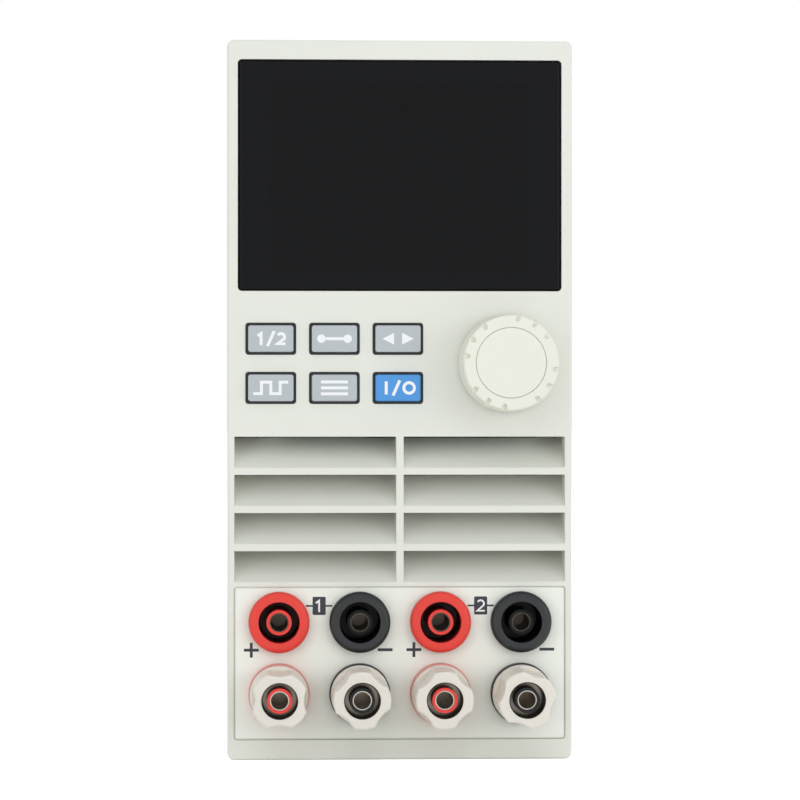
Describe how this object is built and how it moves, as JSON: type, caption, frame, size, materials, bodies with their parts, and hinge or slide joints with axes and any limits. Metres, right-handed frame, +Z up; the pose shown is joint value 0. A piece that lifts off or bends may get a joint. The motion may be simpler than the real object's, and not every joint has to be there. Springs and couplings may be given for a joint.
{
  "type": "dc electronic load",
  "caption": "Slim plug-in dc electronic load module: front panel with display, keys, push knob, air louvres, safety sockets and binding posts on a long steel chassis.",
  "frame": {"origin": "under the middle of the module, on the plane that it stands on", "axes": "+X to the right as seen from the front, +Y from the front panel to the rear, +Z up"},
  "size_m": [0.0816, 0.572, 0.17],
  "materials": {
    "bezel_abs": "fine matt texture",
    "window_acrylic": "gloss, black behind",
    "tinned_steel": "satin",
    "circuit_board": "solder mask",
    "keypad_silicone": "matt",
    "switch_nylon": "matt",
    "key_grey": "satin",
    "key_blue": "satin",
    "nickel_plate": "nickel-plated, polished",
    "knob_abs": "matt",
    "plate_abs": "matt",
    "terminal_red": "satin",
    "terminal_black": "satin",
    "nut_polyamide": "satin, slightly translucent",
    "copper_bar": "satin",
    "lead_pvc": "satin",
    "galvanised_steel": "galvanised",
    "heat_sink_aluminium": "extruded",
    "transistor_epoxy": "matt",
    "capacitor_sleeve": "satin",
    "fan_pbt": "matt",
    "connector_pbt": "matt",
    "brass": "turned",
    "zinc_screw": "zinc-plated",
    "ribbon_pvc": "satin"
  },
  "bodies": {
    "module": {"front_bezel": "bezel_abs", "display_window": "window_acrylic", "display_module": "tinned_steel", "control_board": "circuit_board", "keypad_frame": "keypad_silicone", "tact_switches": "switch_nylon", "encoder_body": "tinned_steel", "encoder_nut": "nickel_plate", "terminal_plate": "plate_abs", "socket_housings_red": "terminal_red", "socket_housings_black": "terminal_black", "socket_contacts": "nickel_plate", "sleeves_red": "terminal_red", "sleeves_black": "terminal_black", "terminal_nuts": "switch_nylon", "post_bases_red": "terminal_red", "post_bases_black": "terminal_black", "post_studs": "nickel_plate", "bus_nuts": "nickel_plate", "bus_bars": "copper_bar", "sense_leads": "lead_pvc", "front_subpanel": "galvanised_steel", "chassis_tray": "galvanised_steel", "side_cover": "galvanised_steel", "rear_panel": "galvanised_steel", "heat_sinks": "heat_sink_aluminium", "power_transistors": "transistor_epoxy", "power_board": "circuit_board", "board_standoffs": "brass", "capacitors": "capacitor_sleeve", "current_shunts": "copper_bar", "fan_frames": "fan_pbt", "rear_connector": "connector_pbt", "guide_bushes": "brass", "clinch_nuts": "zinc_screw", "ribbon_cables": "ribbon_pvc", "flat_head_screws": "zinc_screw", "pan_head_screws": "zinc_screw", "tapping_screws": "zinc_screw"},
    "key_channel": {"key_channel": "key_grey"},
    "key_short": {"key_short": "key_grey"},
    "key_cursor": {"key_cursor": "key_grey"},
    "key_pulse": {"key_pulse": "key_grey"},
    "key_mode": {"key_mode": "key_grey"},
    "key_on_off": {"key_on_off": "key_blue"},
    "encoder_push": {"encoder_plunger": "switch_nylon"},
    "knob": {"knob": "knob_abs", "knob_cap": "knob_abs", "encoder_shaft": "nickel_plate"},
    "collar_1": {"post_collar_1": "nut_polyamide"},
    "nut_1": {"post_nut_1": "nut_polyamide"},
    "collar_2": {"post_collar_2": "nut_polyamide"},
    "nut_2": {"post_nut_2": "nut_polyamide"},
    "collar_3": {"post_collar_3": "nut_polyamide"},
    "nut_3": {"post_nut_3": "nut_polyamide"},
    "collar_4": {"post_collar_4": "nut_polyamide"},
    "nut_4": {"post_nut_4": "nut_polyamide"},
    "fan_lower": {"fan_impeller_lower": "fan_pbt"},
    "fan_upper": {"fan_impeller_upper": "fan_pbt"}
  },
  "joints": [
    {"name": "key_channel_press", "type": "slide", "parent": "module", "child": "key_channel", "axis": [0, 1, 0], "range_m": [0, 0.0006], "stiffness_N_per_m": 2500},
    {"name": "key_short_press", "type": "slide", "parent": "module", "child": "key_short", "axis": [0, 1, 0], "range_m": [0, 0.0006], "stiffness_N_per_m": 2500},
    {"name": "key_cursor_press", "type": "slide", "parent": "module", "child": "key_cursor", "axis": [0, 1, 0], "range_m": [0, 0.0006], "stiffness_N_per_m": 2500},
    {"name": "key_pulse_press", "type": "slide", "parent": "module", "child": "key_pulse", "axis": [0, 1, 0], "range_m": [0, 0.0006], "stiffness_N_per_m": 2500},
    {"name": "key_mode_press", "type": "slide", "parent": "module", "child": "key_mode", "axis": [0, 1, 0], "range_m": [0, 0.0006], "stiffness_N_per_m": 2500},
    {"name": "key_on_off_press", "type": "slide", "parent": "module", "child": "key_on_off", "axis": [0, 1, 0], "range_m": [0, 0.0006], "stiffness_N_per_m": 2500},
    {"name": "knob_push", "type": "slide", "parent": "module", "child": "encoder_push", "axis": [0, 1, 0], "range_m": [0, 0.0005], "stiffness_N_per_m": 8000},
    {"name": "knob_turn", "type": "hinge", "parent": "encoder_push", "child": "knob", "pos_m": [0.0253, -0.28, 0.09365], "axis": [0, 1, 0], "continuous": true},
    {"name": "collar_1_slide", "type": "slide", "parent": "module", "child": "collar_1", "axis": [0, -1, 0], "range_m": [0, 0.004]},
    {"name": "nut_1_turn", "type": "hinge", "parent": "collar_1", "child": "nut_1", "pos_m": [-0.02857, -0.286, 0.0157], "axis": [0, -1, 0], "range_deg": [0, 1530]},
    {"name": "collar_2_slide", "type": "slide", "parent": "module", "child": "collar_2", "axis": [0, -1, 0], "range_m": [0, 0.004]},
    {"name": "nut_2_turn", "type": "hinge", "parent": "collar_2", "child": "nut_2", "pos_m": [-0.00953, -0.286, 0.0157], "axis": [0, -1, 0], "range_deg": [0, 1530]},
    {"name": "collar_3_slide", "type": "slide", "parent": "module", "child": "collar_3", "axis": [0, -1, 0], "range_m": [0, 0.004]},
    {"name": "nut_3_turn", "type": "hinge", "parent": "collar_3", "child": "nut_3", "pos_m": [0.00953, -0.286, 0.0157], "axis": [0, -1, 0], "range_deg": [0, 1530]},
    {"name": "collar_4_slide", "type": "slide", "parent": "module", "child": "collar_4", "axis": [0, -1, 0], "range_m": [0, 0.004]},
    {"name": "nut_4_turn", "type": "hinge", "parent": "collar_4", "child": "nut_4", "pos_m": [0.02857, -0.286, 0.0157], "axis": [0, -1, 0], "range_deg": [0, 1530]},
    {"name": "fan_lower_spin", "type": "hinge", "parent": "module", "child": "fan_lower", "pos_m": [0, 0.264, 0.074], "axis": [0, 1, 0], "continuous": true},
    {"name": "fan_upper_spin", "type": "hinge", "parent": "module", "child": "fan_upper", "pos_m": [0, 0.264, 0.135], "axis": [0, 1, 0], "continuous": true}
  ],
  "couplings": [
    {"joint": "nut_1_turn", "follows": "collar_1_slide", "rad_per_m": 6283.2},
    {"joint": "nut_2_turn", "follows": "collar_2_slide", "rad_per_m": 6283.2},
    {"joint": "nut_3_turn", "follows": "collar_3_slide", "rad_per_m": 6283.2},
    {"joint": "nut_4_turn", "follows": "collar_4_slide", "rad_per_m": 6283.2}
  ]
}
